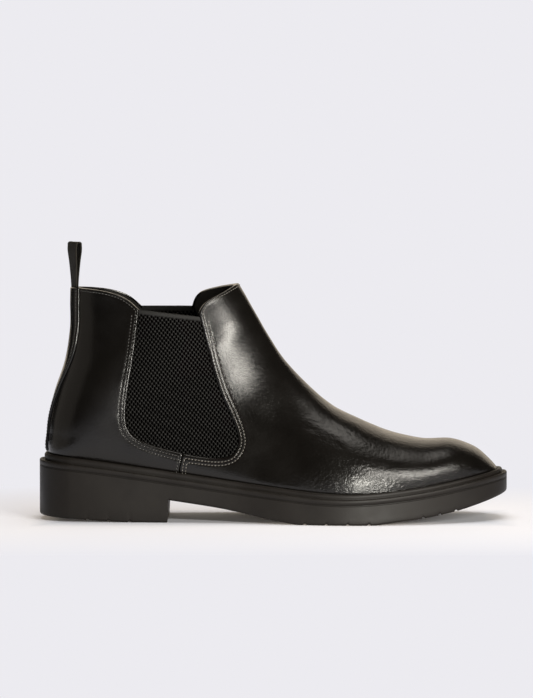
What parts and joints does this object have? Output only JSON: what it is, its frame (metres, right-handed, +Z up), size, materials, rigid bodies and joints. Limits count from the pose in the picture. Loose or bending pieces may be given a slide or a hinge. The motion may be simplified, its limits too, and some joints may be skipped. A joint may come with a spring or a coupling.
{
  "type": "chelsea boot",
  "caption": "Right ankle boot in black leather with elastic side gores, a woven pull tab at the back, a raised bead along the welt and a rubber sole with a low heel.",
  "frame": {"origin": "on the floor, under the middle of the outsole's length and width", "axes": "+X to the toe, +Y to the inner side of the foot, +Z up"},
  "size_m": [0.3006, 0.1022, 0.1775],
  "materials": {
    "leather": "smooth black box calf, polished, with fine grain and soft creases",
    "elastic": "matt black woven elastic with a close lattice of small holes",
    "webbing": "black woven ribbon, faded towards brown on its outside",
    "rubber": "dark brown-black moulded rubber, satin on the bead and matt below",
    "textile": "black woven lining",
    "suede": "black napped leather",
    "foam": "grey closed foam",
    "stiffener": "pale pressed fibre sheet",
    "board": "pressed fibre board",
    "cork": "ground cork, bound",
    "steel": "plain rolled steel"
  },
  "bodies": {
    "boot": {"outsole": "rubber", "welt": "rubber", "heel_filler": "foam", "bottom_filler": "cork", "tuck_board": "board", "shank": "steel", "shank_rivet_rear": "steel", "shank_rivet_front": "steel", "insole_board": "board", "heel_pad": "foam", "footbed": "foam", "sock_lining": "textile", "toe_puff": "stiffener", "heel_counter": "stiffener", "vamp_interlining": "foam", "collar_pad": "foam", "vamp_lining": "textile", "heel_grip": "suede", "vamp": "leather", "backstay": "leather", "quarter_lateral": "leather", "quarter_medial": "leather", "gore_lateral": "elastic", "gore_medial": "elastic", "quarter_lining_lateral": "textile", "quarter_lining_medial": "textile", "pull_tab_root": "webbing"},
    "tab": {"pull_tab": "webbing"}
  },
  "joints": [
    {"name": "pull_tab_hinge", "type": "hinge", "parent": "boot", "child": "tab", "pos_m": [-0.12864, 0.00283, 0.14995], "axis": [-0.3181, 0.9481, 0], "range_deg": [-90, 90], "stiffness_Nm_per_rad": 0.008}
  ]
}
